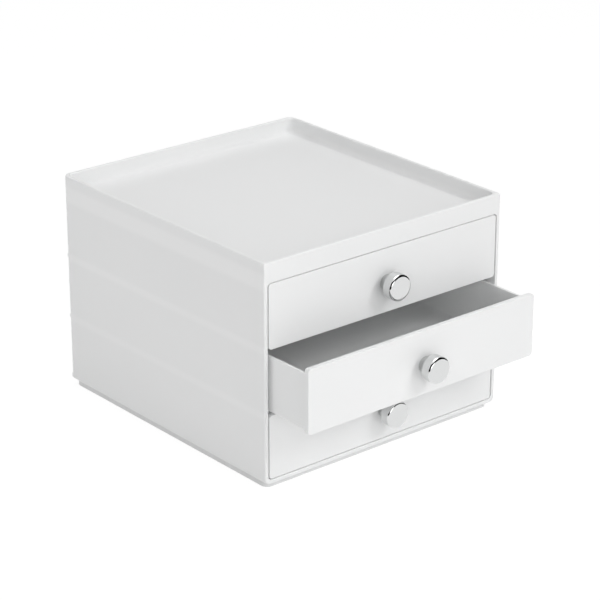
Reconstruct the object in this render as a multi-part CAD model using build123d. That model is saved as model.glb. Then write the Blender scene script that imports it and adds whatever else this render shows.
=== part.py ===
from build123d import *
import os

# Desktop organizer with three drawers and a rimmed tray on top, in millimetres.
# The origin is the centre of the footprint on the desk, +Z is up and the fronts face -Y.

# Case: one moulding with the tray on top and an opening at the front
case_width = 165.0
case_depth = 178.0
case_height = 127.0
case_wall = 2.2
case_floor = 2.5
case_edge_radius = 0.8
back_corner_radius = 5.0
bottom_edge_radius = 3.5
tray_depth = 9.25
tray_floor = 2.0
tray_corner_radius = 4.0
tray_fillet = 2.2
opening_corner_radius = 2.2
opening_edge_radius = 0.25
cavity_fillet = 2.0

# Runners and stops inside the case
runner_width = 6.0
runner_thickness = 1.8
runner_gap = 0.3
runner_setback = 1.0
stop_length = 2.0
stop_height = 8.0
stop_clearance = 0.6

# Base plate that carries the case on a border, and its screws
plinth_height = 3.1
plinth_inset = 2.5
plinth_corner_radius = 4.0
plinth_edge_radius = 0.4
plinth_border = 8.0
plinth_recess = 1.0
plinth_recess_radius = 2.0
boss_diameter = 7.0
boss_inset_x = 16.0
boss_inset_y = 22.0
base_screw_diameter = 2.5
base_screw_tip_gap = 0.5
base_screw_chamfer = 0.3
base_head_diameter = 5.0
base_head_height = 1.2
base_head_round = 0.4
base_head_lift = 0.6
base_head_clearance = 0.3
base_cross_width = 0.7
base_cross_span = 2.8
base_cross_depth = 0.6

# Drawers: a tray moulded in one piece with its front
drawer_names = ("bottom", "middle", "top")
open_drawer = "middle"
open_distance = 31.0
drawer_travel = 120.0
front_gap = 0.4
side_gap = 0.8
front_thickness = 3.2
front_corner_radius = 1.8
front_edge_radius = 0.35
front_overhang_side = 1.05
front_overhang_top = 3.4
front_overhang_bottom = 1.2
drawer_wall = 1.7
drawer_floor = 1.6
drawer_corner_radius = 4.0
drawer_edge_radius = 1.5
drawer_fillet = 2.0
drawer_rim_radius = 0.5
drawer_back_gap = 0.5
lug_length = 5.0
lug_height = 6.0
lug_clearance = 0.4
lug_stop_gap = 0.2

# Knob, its threaded insert, and the screw and washer that hold it from inside
knob_drop = 1.0
knob_head_diameter = 15.0
knob_head_length = 6.0
knob_neck_diameter = 9.0
knob_neck_length = 5.5
knob_bevel = 1.0
insert_diameter = 6.0
insert_length = 7.0
insert_groove_width = 1.4
insert_groove_depth = 0.5
insert_tip_gap = 0.3
screw_diameter = 4.0
screw_tip_setback = 1.0
screw_chamfer = 0.5
screw_head_diameter = 8.0
screw_head_height = 2.4
screw_head_round = 0.8
screw_cross_width = 1.1
screw_cross_span = 4.4
screw_cross_depth = 1.2
washer_diameter = 9.0
washer_thickness = 0.8
screw_hole_clearance = 0.25
fit_clearance = 0.05

# A fillet takes at most these shares of the corner radius or the wall that it is cut in,
# and the insert's groove at most this share of the insert's wall
corner_share = 0.9
wall_share = 0.4
groove_share = 0.6

# Levels and sizes that follow from the values above
front_y = -case_depth / 2
inner_half_width = case_width / 2 - case_wall
inner_back_y = case_depth / 2 - case_wall
opening_bottom = plinth_height + case_floor
opening_top = case_height - tray_depth - tray_floor
opening_height = opening_top - opening_bottom
drawer_count = len(drawer_names)
front_height = (opening_height - front_gap * (drawer_count + 1)) / drawer_count
drawer_pitch = front_height + front_gap
front_width = 2 * (inner_half_width - side_gap)
front_back_y = front_y + front_thickness
tray_width = front_width - 2 * front_overhang_side
tray_back_y = inner_back_y - drawer_back_gap
tray_height = front_height - front_overhang_top - front_overhang_bottom
side_room = side_gap + front_overhang_side
runner_front_y = front_back_y + runner_setback
stop_back_y = runner_front_y + stop_length
lug_front_y = stop_back_y + drawer_travel + lug_stop_gap
base_seat_z = base_head_lift + base_head_height
boss_x = case_width / 2 - boss_inset_x
boss_y = case_depth / 2 - boss_inset_y
screw_length = washer_thickness + front_thickness + insert_length - screw_tip_setback
cut_overrun = case_wall
upright = (Align.CENTER, Align.CENTER, Align.MIN)
hanging = (Align.CENTER, Align.CENTER, Align.MAX)


def front_bottom(level):
    return opening_bottom + front_gap + level * drawer_pitch


def tray_bottom(level):
    return front_bottom(level) + front_overhang_bottom


def runner_top(level):
    return tray_bottom(level) - runner_gap


def knob_height(level):
    return front_bottom(level) + front_height / 2 - knob_drop


def boss_centres():
    return [(x, y) for x in (-boss_x, boss_x) for y in (-boss_y, boss_y)]


def span_box(low, high):
    # Box between two opposite corners
    size = [high[i] - low[i] for i in range(len(low))]
    middle = [(high[i] + low[i]) / 2 for i in range(len(low))]
    return Pos(*middle) * Box(*size)


def round_edges(shape, edges, radius):
    return shape.fillet(radius, list(edges))


def rounded_pocket(width, depth, height, corner_radius, floor_radius):
    # Block with rounded uprights and a rounded floor edge, standing on Z = 0
    block = extrude(RectangleRounded(width, depth, corner_radius), height)
    floor_edges = block.edges().group_by(Axis.Z)[0]
    return round_edges(block, floor_edges, min(floor_radius, corner_share * corner_radius))


def bath_block(low, high, back_radius, bottom_radius):
    # Block rounded at its back uprights and its lower edges, square at the front
    block = span_box(low, high)
    block = round_edges(block, block.edges().filter_by(Axis.Z).group_by(Axis.Y)[-1], back_radius)
    lower_edges = block.edges().group_by(Axis.Z)[0].sort_by(Axis.Y)[1:]
    return round_edges(block, lower_edges, min(bottom_radius, corner_share * back_radius))


def turned_to_front(shape):
    # Turns what stands along +Z so that it points out of the front, along -Y
    return Rot(90, 0, 0) * shape


def make_case_body():
    low = (-case_width / 2, front_y, plinth_height)
    high = (case_width / 2, case_depth / 2, case_height)
    body = bath_block(low, high, back_corner_radius, bottom_edge_radius)
    edge_radius = min(case_edge_radius, wall_share * case_wall)
    front_edges = body.edges().group_by(Axis.Y)[0]
    top_edges = body.edges().group_by(Axis.Z)[-1].sort_by(Axis.Y)[1:]
    body = round_edges(body, front_edges + top_edges, edge_radius)

    recess = rounded_pocket(2 * inner_half_width, case_depth - 2 * case_wall, tray_depth + cut_overrun,
                            tray_corner_radius, tray_fillet)
    body = body - Pos(0, 0, case_height - tray_depth) * recess
    rim = body.faces().sort_by(Axis.Z)[-1]
    body = round_edges(body, rim.inner_wires()[0].edges(), edge_radius)

    cavity_depth = inner_back_y - front_y + cut_overrun
    cavity = rounded_pocket(2 * inner_half_width, opening_height, cavity_depth,
                            opening_corner_radius, cavity_fillet)
    cavity_middle = (opening_bottom + opening_top) / 2
    body = body - Pos(0, inner_back_y, cavity_middle) * turned_to_front(cavity)
    frame = body.faces().sort_by(Axis.Y)[0]
    return round_edges(body, frame.inner_wires()[0].edges(), opening_edge_radius)


def wall_box(side, reach, low_y, high_y, low_z, high_z):
    # Box on the inside of a side wall, rooted in the wall
    x_ends = sorted((side * (inner_half_width - reach), side * (inner_half_width + case_wall / 2)))
    return span_box((x_ends[0], low_y, low_z), (x_ends[1], high_y, high_z))


def make_runner(side, level):
    # Ledge under a drawer; the lowest pair stands on the case floor
    top = runner_top(level)
    bottom = top - runner_thickness if level else opening_bottom - case_floor / 2
    return wall_box(side, runner_width, runner_front_y, inner_back_y + case_wall / 2, bottom, top)


def make_stop(side, level):
    # Rib behind the front frame that the drawer's lug meets at the end of its travel
    reach = side_room - stop_clearance
    bottom = tray_bottom(level) + (tray_height - stop_height) / 2
    return wall_box(side, reach, runner_front_y, stop_back_y, bottom, bottom + stop_height)


def make_case_shell():
    shell = make_case_body()
    for level in range(drawer_count):
        for side in (-1, 1):
            shell = shell + make_runner(side, level) + make_stop(side, level)
    boss_low = opening_bottom - case_floor / 2
    boss = Cylinder(boss_diameter / 2, runner_top(0) - boss_low, align=upright)
    pilot = Cylinder(base_screw_diameter / 2 + fit_clearance, runner_top(0), align=upright)
    for x, y in boss_centres():
        shell = shell + Pos(x, y, boss_low) * boss
        shell = shell - Pos(x, y, 0) * pilot
    return shell


def make_base_plate():
    width = case_width - 2 * plinth_inset
    depth = case_depth - 2 * plinth_inset
    plate = extrude(RectangleRounded(width, depth, plinth_corner_radius), plinth_height)
    plate = round_edges(plate, plate.edges().group_by(Axis.Z)[0], plinth_edge_radius)
    recess = RectangleRounded(width - 2 * plinth_border, depth - 2 * plinth_border, plinth_recess_radius)
    plate = plate - extrude(recess, plinth_recess)
    hole = Cylinder(base_screw_diameter / 2 + fit_clearance, plinth_height, align=upright)
    head_seat = Cylinder(base_head_diameter / 2 + base_head_clearance, base_seat_z, align=upright)
    for x, y in boss_centres():
        plate = plate - Pos(x, y, 0) * (hole + head_seat)
    return plate


def make_drawer(level):
    # Closed drawer: the front is flush with the frame
    bottom = tray_bottom(level)
    rim = bottom + tray_height
    half_width = tray_width / 2
    low = (-half_width, front_y + front_thickness / 2, bottom)
    high = (half_width, tray_back_y, rim)
    tray = bath_block(low, high, drawer_corner_radius, drawer_edge_radius)
    inner_depth = tray_back_y - drawer_wall - front_back_y
    pocket = rounded_pocket(tray_width - 2 * drawer_wall, inner_depth, tray_height,
                            drawer_corner_radius - drawer_wall / 2, drawer_fillet)
    tray = tray - Pos(0, front_back_y + inner_depth / 2, bottom + drawer_floor) * pocket
    rim_edges = tray.faces().sort_by(Axis.Z)[-1].edges()
    tray = round_edges(tray, rim_edges, min(drawer_rim_radius, wall_share * drawer_wall))

    front = extrude(RectangleRounded(front_width, front_height, front_corner_radius), front_thickness)
    front = round_edges(front, front.edges().group_by(Axis.Z)[-1], front_edge_radius)
    front = round_edges(front, front.edges().group_by(Axis.Z)[0], front_edge_radius)
    front_middle = front_bottom(level) + front_height / 2
    drawer = tray + Pos(0, front_back_y, front_middle) * turned_to_front(front)

    hole = Cylinder(screw_diameter / 2 + screw_hole_clearance, 2 * front_thickness)
    drawer = drawer - Pos(0, front_y + front_thickness / 2, knob_height(level)) * turned_to_front(hole)
    lug_bottom = bottom + (tray_height - lug_height) / 2
    lug_root = half_width - drawer_wall / 2
    lug_end = half_width + side_room - lug_clearance
    for side in (-1, 1):
        x_ends = sorted((side * lug_root, side * lug_end))
        lug_low = (x_ends[0], lug_front_y, lug_bottom)
        lug_high = (x_ends[1], lug_front_y + lug_length, lug_bottom + lug_height)
        drawer = drawer + span_box(lug_low, lug_high)
    return drawer


def make_knob():
    # Turned form along +Z: neck from Z = 0, then the head with a bevelled face
    neck = knob_neck_diameter / 2
    head = knob_head_diameter / 2
    top = knob_neck_length + knob_head_length
    back_edge = knob_bevel / 2
    outline = Polyline((0, 0), (neck, 0), (neck, knob_neck_length), (head - back_edge, knob_neck_length),
                       (head, knob_neck_length + back_edge), (head, top - knob_bevel),
                       (head - knob_bevel, top), (0, top), close=True)
    knob = revolve(Plane.XZ * make_face(outline), Axis.Z)
    bore = Cylinder(insert_diameter / 2 + fit_clearance, insert_length + insert_tip_gap, align=upright)
    return knob - bore


def make_insert():
    # Threaded bush with a groove at mid-length, bored to the screw
    bore = screw_diameter / 2 + fit_clearance
    groove_depth = min(insert_groove_depth, groove_share * (insert_diameter / 2 - bore))
    bush = Cylinder(insert_diameter / 2, insert_length, align=upright)
    groove_low = (insert_length - insert_groove_width) / 2
    groove = Cylinder(insert_diameter, insert_groove_width, align=upright)
    groove = groove - Cylinder(insert_diameter / 2 - groove_depth, insert_groove_width, align=upright)
    bush = bush - Pos(0, 0, groove_low) * groove
    return bush - Cylinder(bore, insert_length, align=upright)


def make_screw(diameter, length, chamfer_size, head):
    # Pan-head screw with a cross recess; the seat is at Z = 0 and the thread runs along +Z
    head_diameter, head_height, head_round, cross_width, cross_span, cross_depth = head
    shank = Cylinder(diameter / 2, length, align=upright)
    shank = shank.chamfer(chamfer_size, None, list(shank.edges().group_by(Axis.Z)[-1]))
    cap = Cylinder(head_diameter / 2, head_height, align=hanging)
    cap = round_edges(cap, cap.edges().group_by(Axis.Z)[0], head_round)
    cross = Box(cross_width, cross_span, cross_depth, align=upright)
    cross = cross + Box(cross_span, cross_width, cross_depth, align=upright)
    return shank + cap - Pos(0, 0, -head_height) * cross


def make_washer():
    ring = Cylinder(washer_diameter / 2, washer_thickness)
    return ring - Cylinder(screw_diameter / 2 + screw_hole_clearance, washer_thickness)


def make_knob_screw():
    head = (screw_head_diameter, screw_head_height, screw_head_round,
            screw_cross_width, screw_cross_span, screw_cross_depth)
    return make_screw(screw_diameter, screw_length, screw_chamfer, head)


def make_base_screws():
    head = (base_head_diameter, base_head_height, base_head_round,
            base_cross_width, base_cross_span, base_cross_depth)
    length = runner_top(0) - base_seat_z - base_screw_tip_gap
    screw = make_screw(base_screw_diameter, length, base_screw_chamfer, head)
    return Compound(children=[Pos(x, y, base_seat_z) * screw for x, y in boss_centres()])


def drawer_pieces(name, level):
    # A drawer with its knob, insert, screw and washer, pulled out if it is the open one
    pulled = open_distance if name == open_drawer else 0.0
    knob_z = knob_height(level)
    at_front = Pos(0, front_y, knob_z)
    at_washer = Pos(0, front_back_y + washer_thickness / 2, knob_z)
    at_seat = Pos(0, front_back_y + washer_thickness, knob_z)
    pieces = {
        "drawer_" + name: make_drawer(level),
        "knob_" + name: at_front * turned_to_front(make_knob()),
        "knob_insert_" + name: at_front * turned_to_front(make_insert()),
        "knob_washer_" + name: at_washer * turned_to_front(make_washer()),
        "knob_screw_" + name: at_seat * turned_to_front(make_knob_screw()),
    }
    return {node: Pos(0, -pulled, 0) * shape for node, shape in pieces.items()}


def all_pieces():
    pieces = {
        "case_shell": make_case_shell(),
        "base_plate": make_base_plate(),
        "base_screws": make_base_screws(),
    }
    for level, name in enumerate(drawer_names):
        pieces.update(drawer_pieces(name, level))
    return pieces


os.makedirs("parts", exist_ok=True)
for node, shape in all_pieces().items():
    export_step(shape, "parts/" + node + ".step")
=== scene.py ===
import bpy
import bmesh
import math
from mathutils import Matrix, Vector


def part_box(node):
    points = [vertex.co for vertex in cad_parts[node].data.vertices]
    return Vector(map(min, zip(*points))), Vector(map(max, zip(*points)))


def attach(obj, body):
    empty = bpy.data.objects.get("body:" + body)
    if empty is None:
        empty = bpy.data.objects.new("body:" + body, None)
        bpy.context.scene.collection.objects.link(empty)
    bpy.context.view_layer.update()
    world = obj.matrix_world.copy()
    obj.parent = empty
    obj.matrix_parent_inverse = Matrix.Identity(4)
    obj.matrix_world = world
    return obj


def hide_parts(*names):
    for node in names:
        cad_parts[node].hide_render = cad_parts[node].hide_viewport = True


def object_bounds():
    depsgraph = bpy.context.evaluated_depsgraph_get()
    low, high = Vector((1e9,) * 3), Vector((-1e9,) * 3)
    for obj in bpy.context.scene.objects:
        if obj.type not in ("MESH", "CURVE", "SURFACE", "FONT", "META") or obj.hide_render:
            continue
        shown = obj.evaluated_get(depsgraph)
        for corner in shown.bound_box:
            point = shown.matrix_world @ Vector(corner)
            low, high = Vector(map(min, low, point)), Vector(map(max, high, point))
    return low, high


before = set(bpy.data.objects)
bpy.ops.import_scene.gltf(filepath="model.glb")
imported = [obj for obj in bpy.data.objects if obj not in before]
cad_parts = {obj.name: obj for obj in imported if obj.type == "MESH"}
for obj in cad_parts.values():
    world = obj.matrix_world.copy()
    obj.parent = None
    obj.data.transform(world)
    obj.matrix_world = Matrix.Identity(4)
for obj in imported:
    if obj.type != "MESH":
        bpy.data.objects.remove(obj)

cadBox = [list(corner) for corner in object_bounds()]
mm = 0.001
print("frame loaded:", len(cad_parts), "nodes")


def srgb(hexCode):
    # sRGB hex to the linear colour that shaders take
    parts = [int(hexCode[i:i + 2], 16) / 255 for i in (0, 2, 4)]
    return [p / 12.92 if p <= 0.04045 else ((p + 0.055) / 1.055) ** 2.4 for p in parts] + [1.0]


def addNode(tree, kind, settings=None, links=None):
    # one node with its properties, socket values and incoming links
    # sockets go by name or number: Mix has its share at 0, numbers at 2 and 3, colours at 6 and 7
    node = tree.nodes.new(kind)
    for key, value in (settings or {}).items():
        if isinstance(key, str) and hasattr(node, key):
            setattr(node, key, value)
        else:
            node.inputs[key].default_value = value
    for key, source in (links or {}).items():
        tree.links.new(source, node.inputs[key])
    return node


def newMaterial(name):
    material = bpy.data.materials.new(name)
    material.use_nodes = True
    tree = material.node_tree
    tree.nodes.clear()
    return material, tree


def newObject(name, shape, material):
    # bmesh to a smooth-shaded object at the origin
    mesh = bpy.data.meshes.new(name)
    shape.to_mesh(mesh)
    shape.free()
    mesh.materials.append(material)
    mesh.shade_smooth()
    item = bpy.data.objects.new(name, mesh)
    bpy.context.scene.collection.objects.link(item)
    return item


def wayTo(azimuth, elevation):
    # direction for degrees to the right of straight in front, and up
    a, e = math.radians(azimuth), math.radians(elevation)
    return Vector((math.sin(a) * math.cos(e), -math.cos(a) * math.cos(e), math.sin(e)))


# Camera at the photograph's viewing angle
cameraView = {
    "azimuth": -39.85,       # degrees, seen from the left of the fronts
    "elevation": 22.29,
    "distance": 1.297,       # metres from the aim point
    "lens": 139.49,          # mm
    "sensor": 36,            # mm
    "farthest": 50,          # metres that are drawn
    "aim": (11.65 * mm, -5.01 * mm),   # aim point right of and below the case's middle, in the picture plane
}


def makeCamera(view):
    back = wayTo(view["azimuth"], view["elevation"])
    turn = (-back).to_track_quat("-Z", "Y")
    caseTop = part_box("case_shell")[1].z
    middle = Vector((0, 0, caseTop / 2))
    data = bpy.data.cameras.new("camera")
    data.lens = view["lens"]
    data.sensor_width = view["sensor"]
    data.clip_end = view["farthest"]
    camera = bpy.data.objects.new("camera", data)
    camera.rotation_mode = "QUATERNION"
    camera.rotation_quaternion = turn
    camera.location = middle + turn @ Vector((*view["aim"], 0)) + back * view["distance"]
    bpy.context.scene.collection.objects.link(camera)
    bpy.context.scene.camera = camera


makeCamera(cameraView)
print("camera set")


# White plastic: moulded polystyrene with a fine satin texture, so highlights are soft and broad
plasticLook = {
    "colour": "EEEEEE",
    "shade": "EBECEC",        # slow drift of the melt's tone
    "driftMm": 70,
    "driftDetail": 2.0,
    "roughness": (0.30, 0.42),
    "ior": 1.55,
    "grainMm": 0.9,           # the real texture is about 0.1 mm, drawn coarser so that it shows
    "grainDetail": 3.0,
    "grainDepthMm": 0.004,
    "translucency": 0.1,      # edges let a little light through
    "scatterMm": 1.0,
}
# Painted light: the case is painted a little whiter outside wherever a runner or the tray's floor backs its
# walls, standing in for the light that passes through the thin plastic
trayFloorMm = 10.5            # from the rim down to the middle of the tray's floor
caseLook = {
    **plasticLook,
    # painted light: a whiter tone standing in for light through the thin walls
    "paintedGlow": "F7F7F7",
    "sideways": (0.4, 0.95),  # how far a wall faces sideways, where the bands start and where they are full
    "bands": [                # height, half width and soft edge in mm, and share of the painted whiter tone
        {"z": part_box("drawer_middle")[0].z / mm, "half": 2.0, "edge": 1.5, "share": 0.25},
        {"z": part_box("drawer_top")[0].z / mm, "half": 2.0, "edge": 1.5, "share": 0.3},
        {"z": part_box("case_shell")[1].z / mm - trayFloorMm, "half": 4.5, "edge": 2.0, "share": 0.42},
    ],
}
# The plinth is a moulding of its own, painted a shade greyer: painted shade standing in for the shade under
# the case's overhang
paintedShadePlinthLook = {**plasticLook, "colour": "E0E0E0", "shade": "DDDEDE"}


def paintedGlowBands(tree, place, tone, look):
    # mixes the painted whiter tone in, in level bands on the walls that face sideways: painted light
    # standing in for light through the thin walls
    height = addNode(tree, "ShaderNodeSeparateXYZ", links={0: place}).outputs["Z"]
    facing = addNode(tree, "ShaderNodeNewGeometry").outputs["True Normal"]
    across = addNode(tree, "ShaderNodeSeparateXYZ", links={0: facing}).outputs["X"]
    sideways = addNode(tree, "ShaderNodeMath", {"operation": "ABSOLUTE"}, {0: across}).outputs[0]
    start, full = look["sideways"]
    wall = addNode(tree, "ShaderNodeMapRange", {"From Min": start, "From Max": full}, {"Value": sideways})
    for band in look["bands"]:
        low, high = (band["half"] - band["edge"]) * mm, (band["half"] + band["edge"]) * mm
        off = addNode(tree, "ShaderNodeMath", {"operation": "SUBTRACT", 1: band["z"] * mm}, {0: height})
        away = addNode(tree, "ShaderNodeMath", {"operation": "ABSOLUTE"}, {0: off.outputs[0]})
        share = addNode(tree, "ShaderNodeMapRange",
                        {"interpolation_type": "SMOOTHSTEP", "From Min": low, "From Max": high,
                         "To Min": band["share"], "To Max": 0.0}, {"Value": away.outputs[0]})
        masked = addNode(tree, "ShaderNodeMath", {"operation": "MULTIPLY"},
                         {0: share.outputs["Result"], 1: wall.outputs["Result"]})
        # painted light: the whiter tone in each band stands in for light through the thin walls
        tone = addNode(tree, "ShaderNodeMix", {"data_type": "RGBA", 7: srgb(look["paintedGlow"])},
                       {0: masked.outputs[0], 6: tone}).outputs[2]
    return tone


def mouldedPlastic(name, look):
    material, tree = newMaterial(name)
    place = addNode(tree, "ShaderNodeTexCoord").outputs["Object"]
    drift = addNode(tree, "ShaderNodeTexNoise",
                    {"Scale": 1 / (look["driftMm"] * mm), "Detail": look["driftDetail"]}, {"Vector": place})
    grain = addNode(tree, "ShaderNodeTexNoise",
                    {"Scale": 1 / (look["grainMm"] * mm), "Detail": look["grainDetail"]}, {"Vector": place})
    tone = addNode(tree, "ShaderNodeMix",
                   {"data_type": "RGBA", 6: srgb(look["colour"]), 7: srgb(look["shade"])},
                   {0: drift.outputs["Fac"]}).outputs[2]
    if "bands" in look:
        tone = paintedGlowBands(tree, place, tone, look)
    low, high = look["roughness"]
    gloss = addNode(tree, "ShaderNodeMapRange", {"To Min": low, "To Max": high},
                    {"Value": grain.outputs["Fac"]})
    bump = addNode(tree, "ShaderNodeBump", {"Strength": 1.0, "Distance": look["grainDepthMm"] * mm},
                   {"Height": grain.outputs["Fac"]})
    inside = {"Subsurface Weight": look["translucency"], "Subsurface Scale": look["scatterMm"] * mm,
              "Subsurface Radius": (1, 1, 1)}   # as far in red as in green and blue
    shader = addNode(tree, "ShaderNodeBsdfPrincipled", {"IOR": look["ior"], **inside},
                     {"Base Color": tone, "Roughness": gloss.outputs["Result"],
                      "Normal": bump.outputs["Normal"]})
    addNode(tree, "ShaderNodeOutputMaterial", links={"Surface": shader.outputs["BSDF"]})
    return material


# Chrome plating over a polished casting: near mirror
chromeLook = {"colour": "DADBDB", "roughness": (0.03, 0.06), "cloudMm": 6, "detail": 3.0}
# Bright zinc plating on steel: pale grey with a soft, cloudy gloss
zincLook = {"colour": "C9CDD1", "roughness": (0.22, 0.38), "cloudMm": 1.5, "detail": 3.0}
# Turned brass: warm yellow with a satin gloss
brassLook = {"colour": "D2AE62", "roughness": (0.2, 0.34), "cloudMm": 1.2, "detail": 3.0}


def metalFinish(name, look):
    material, tree = newMaterial(name)
    place = addNode(tree, "ShaderNodeTexCoord").outputs["Object"]
    cloud = addNode(tree, "ShaderNodeTexNoise",
                    {"Scale": 1 / (look["cloudMm"] * mm), "Detail": look["detail"]}, {"Vector": place})
    low, high = look["roughness"]
    gloss = addNode(tree, "ShaderNodeMapRange", {"To Min": low, "To Max": high},
                    {"Value": cloud.outputs["Fac"]})
    shader = addNode(tree, "ShaderNodeBsdfPrincipled", {"Metallic": 1.0, "Base Color": srgb(look["colour"])},
                     {"Roughness": gloss.outputs["Result"]})
    addNode(tree, "ShaderNodeOutputMaterial", links={"Surface": shader.outputs["BSDF"]})
    return material


finishes = {
    "case": mouldedPlastic("moulded_polystyrene_case", caseLook),
    "white": mouldedPlastic("moulded_polystyrene", plasticLook),
    # painted shade: the plinth's greyer colour stands in for the shade under the case's overhang
    "plinth": mouldedPlastic("moulded_polystyrene_plinth_painted_shade", paintedShadePlinthLook),
    "chrome": metalFinish("chrome_plated_zinc", chromeLook),
    "zinc": metalFinish("zinc_plated_steel", zincLook),
    "brass": metalFinish("turned_brass", brassLook),
}
# Finish of each CAD node by how its name starts, with knob_ after the longer starts
nodeFinish = {"case_shell": "case", "base_plate": "plinth", "drawer_": "white", "base_screws": "zinc",
              "knob_insert_": "brass", "knob_washer_": "zinc", "knob_screw_": "zinc", "knob_": "chrome"}
for name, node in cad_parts.items():
    stem = next(s for s in nodeFinish if name.startswith(s))
    for slot in node.material_slots:
        slot.material = finishes[nodeFinish[stem]]
print("finishes on the CAD nodes")


# Knobs: turned and polished heads on slim necks, with a blind bore for the insert
knobShape = {
    "neckRadius": 4.5 * mm,
    "neckLength": 5.5 * mm,
    "neckFillet": 0.5 * mm,
    "backRound": 0.4 * mm,
    "faceRound": 1.3 * mm,
    "crown": 0.08 * mm,       # the face is a little domed
    "boreRadius": 3.05 * mm,
    "boreDepth": 7.3 * mm,
    "edgeStep": 0.12 * mm,    # flat strip beside each round, which keeps the shading of the flats even
    "faceSteps": (0.98, 0.75, 0.5, 0.25, 0),   # rings on the face, as shares of its radius
    "arcSteps": 8,
    "turnSteps": 96,
    "mergeGap": 0.001 * mm,
}


def arc(centre, radius, start, end, steps):
    # points on an arc in the outline's plane, angles in degrees from outwards towards the face
    turns = [math.radians(start + (end - start) * i / steps) for i in range(steps + 1)]
    return [(centre[0] + radius * math.cos(t), centre[1] + radius * math.sin(t)) for t in turns]


def knobOutline(shape, radius, length):
    # (distance from the axis, height above the drawer front), from the bore's end to the face's middle
    neck, reach, fillet = shape["neckRadius"], shape["neckLength"], shape["neckFillet"]
    back, front, strip, steps = shape["backRound"], shape["faceRound"], shape["edgeStep"], shape["arcSteps"]
    bore, depth = shape["boreRadius"], shape["boreDepth"]
    rim = radius - front
    sag = shape["crown"]
    outline = [(0, depth), (bore, depth), (bore, 0), (neck, 0), (neck, reach - fillet - strip)]
    outline += arc((neck + fillet, reach - fillet), fillet, 180, 90, steps)
    outline += [(neck + fillet + strip, reach), (radius - back - strip, reach)]
    outline += arc((radius - back, reach + back), back, -90, 0, steps)
    outline += [(radius, reach + back + strip), (radius, length - sag - front - strip)]
    outline += arc((rim, length - sag - front), front, 0, 90, steps)
    outline += [(rim * share, length - sag * share ** 2) for share in shape["faceSteps"]]
    return outline


def makeKnob(drawer, shape, material):
    node = "knob_" + drawer
    low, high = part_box(node)
    axis = Vector(((low.x + high.x) / 2, high.y, (low.z + high.z) / 2))
    outline = knobOutline(shape, (high.x - low.x) / 2, high.y - low.y)
    knob = bmesh.new()
    points = [knob.verts.new(axis + Vector((out, -up, 0))) for out, up in outline]
    edges = [knob.edges.new(pair) for pair in zip(points, points[1:])]
    bmesh.ops.spin(knob, geom=points + edges, axis=(0, 1, 0), cent=axis, steps=shape["turnSteps"],
                   angle=2 * math.pi, use_merge=True)
    bmesh.ops.remove_doubles(knob, verts=knob.verts, dist=shape["mergeGap"])
    bmesh.ops.recalc_face_normals(knob, faces=knob.faces)
    item = newObject("turned_" + node, knob, material)
    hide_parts(node)
    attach(item, drawer + "_drawer")


for drawer in ("top", "middle", "bottom"):
    makeKnob(drawer, knobShape, finishes["chrome"])
print("knobs turned")


def rayOfSight(tree):
    # 1 for rays from the camera, from mirrors and through glass, else 0
    path = addNode(tree, "ShaderNodeLightPath").outputs
    direct = addNode(tree, "ShaderNodeMath", {"operation": "MAXIMUM"},
                     {0: path["Is Camera Ray"], 1: path["Is Glossy Ray"]})
    sight = addNode(tree, "ShaderNodeMath", {"operation": "MAXIMUM"},
                    {0: direct.outputs[0], 1: path["Is Transmission Ray"]})
    return sight.outputs[0]


# Floor: plain white, with the object's soft shadow
floorLook = {
    "size": 8.0,              # metres
    "colour": "F4F4F4",
    "glow": 1.08,             # makes up for the matte share, which is under white
    "glowShare": 0.85,
}


def makeFloor(look):
    material, tree = newMaterial("white_floor")
    matte = addNode(tree, "ShaderNodeBsdfDiffuse", {"Color": srgb(look["colour"])})
    glow = addNode(tree, "ShaderNodeEmission", {"Strength": look["glow"]})
    share = addNode(tree, "ShaderNodeMath", {"operation": "MULTIPLY", 1: look["glowShare"]},
                    {0: rayOfSight(tree)})
    mix = addNode(tree, "ShaderNodeMixShader",
                  links={0: share.outputs[0], 1: matte.outputs[0], 2: glow.outputs[0]})
    addNode(tree, "ShaderNodeOutputMaterial", links={"Surface": mix.outputs[0]})
    shape = bmesh.new()
    bmesh.ops.create_grid(shape, x_segments=1, y_segments=1, size=look["size"] / 2)
    newObject("floor", shape, material)


makeFloor(floorLook)
print("floor laid")

# Lamps: large soft boxes aimed at the object's middle, in degrees, metres and watts
lamps = {
    "key": {"azimuth": 21, "elevation": 35, "distance": 1.7, "size": 0.6, "watts": 7.7},
    "fill": {"azimuth": -40, "elevation": 25, "distance": 1.7, "size": 1.0, "watts": 7.9},
    "low_front": {"azimuth": 0, "elevation": 6, "distance": 1.7, "size": 1.0, "watts": 7.4},
    "overhead": {"azimuth": 0, "elevation": 90, "distance": 1.7, "size": 1.2, "watts": 7.2},
    "back": {"azimuth": 140, "elevation": 75, "distance": 1.7, "size": 1.2, "watts": 7.2},
    "low_back": {"azimuth": 180, "elevation": 10, "distance": 1.7, "size": 0.7, "watts": 3.5},
    "low_right": {"azimuth": 85, "elevation": 10, "distance": 1.7, "size": 0.7, "watts": 2.2},
    "side_panel": {"azimuth": -105, "elevation": 8, "distance": 0.6, "size": 0.5, "watts": 0.86},
}


def makeLamp(name, lamp):
    data = bpy.data.lights.new(name, "AREA")
    data.size = lamp["size"]
    data.energy = lamp["watts"]
    item = bpy.data.objects.new(name, data)
    way = wayTo(lamp["azimuth"], lamp["elevation"])
    item.location = Vector((0, 0, cadBox[1][2] / 2)) + way * lamp["distance"]
    item.rotation_mode = "QUATERNION"
    item.rotation_quaternion = way.to_track_quat("Z", "Y")
    bpy.context.scene.collection.objects.link(item)


for name, lamp in lamps.items():
    makeLamp(name, lamp)
print("lamps lit:", len(lamps))

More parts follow.
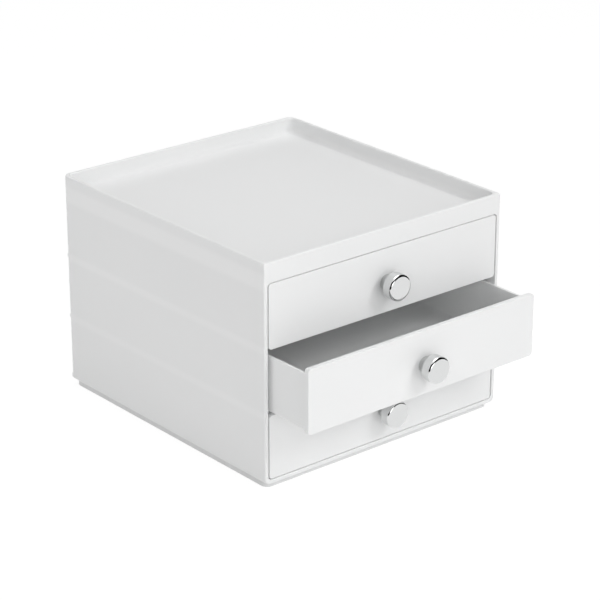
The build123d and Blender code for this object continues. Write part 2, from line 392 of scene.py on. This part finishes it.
# Black cards that only reflections show, which stand round the knobs, in degrees and metres
cardColour = "0C0C0C"
cards = {
    "card_left": {"azimuth": -58, "distance": 0.4, "width": 0.64, "height": 0.58, "lift": 0},
    "card_right": {"azimuth": 56, "distance": 0.4, "width": 0.68, "height": 0.84, "lift": 0},
    "card_front": {"azimuth": -2, "distance": 0.5, "width": 0.42, "height": 0.60, "lift": 0.2},
}


def makeCard(name, card, material):
    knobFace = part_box("knob_middle")[0].y
    shape = bmesh.new()
    bmesh.ops.create_grid(shape, x_segments=1, y_segments=1, size=0.5)   # one metre wide until scaled
    bmesh.ops.scale(shape, vec=(card["width"], card["height"], 1), verts=shape.verts)
    item = newObject(name, shape, material)
    way = wayTo(card["azimuth"], 0)
    item.location = Vector((0, knobFace, card["lift"] + card["height"] / 2)) + way * card["distance"]
    item.rotation_mode = "QUATERNION"
    item.rotation_quaternion = way.to_track_quat("Z", "Y")
    item.visible_camera = False
    item.visible_diffuse = False
    item.visible_transmission = False
    item.visible_shadow = False


def blackCard(name, colour):
    material, tree = newMaterial(name)
    matte = addNode(tree, "ShaderNodeBsdfDiffuse", {"Color": srgb(colour)})
    addNode(tree, "ShaderNodeOutputMaterial", links={"Surface": matte.outputs[0]})
    return material


cardBlack = blackCard("black_card", cardColour)
for name, card in cards.items():
    makeCard(name, card, cardBlack)
print("cards stood up:", len(cards))

# Room: white to look at, and only a little light from all round
roomLight = {
    "colour": "FFFFFF",
    "seen": 1.0,
    "level": 0.05,
    "bounces": 12,            # light passes many times between white walls
}


def makeWorld(light):
    world = bpy.data.worlds.new("studio")
    bpy.context.scene.world = world
    world.use_nodes = True
    tree = world.node_tree
    tree.nodes.clear()
    strength = addNode(tree, "ShaderNodeMix", {2: light["level"], 3: light["seen"]}, {0: rayOfSight(tree)})
    glow = addNode(tree, "ShaderNodeBackground", {"Color": srgb(light["colour"])},
                   {"Strength": strength.outputs[0]})
    addNode(tree, "ShaderNodeOutputWorld", links={"Surface": glow.outputs[0]})


makeWorld(roomLight)
bpy.context.scene.view_settings.view_transform = "Standard"
bpy.context.scene.cycles.diffuse_bounces = roomLight["bounces"]
print("studio ready")
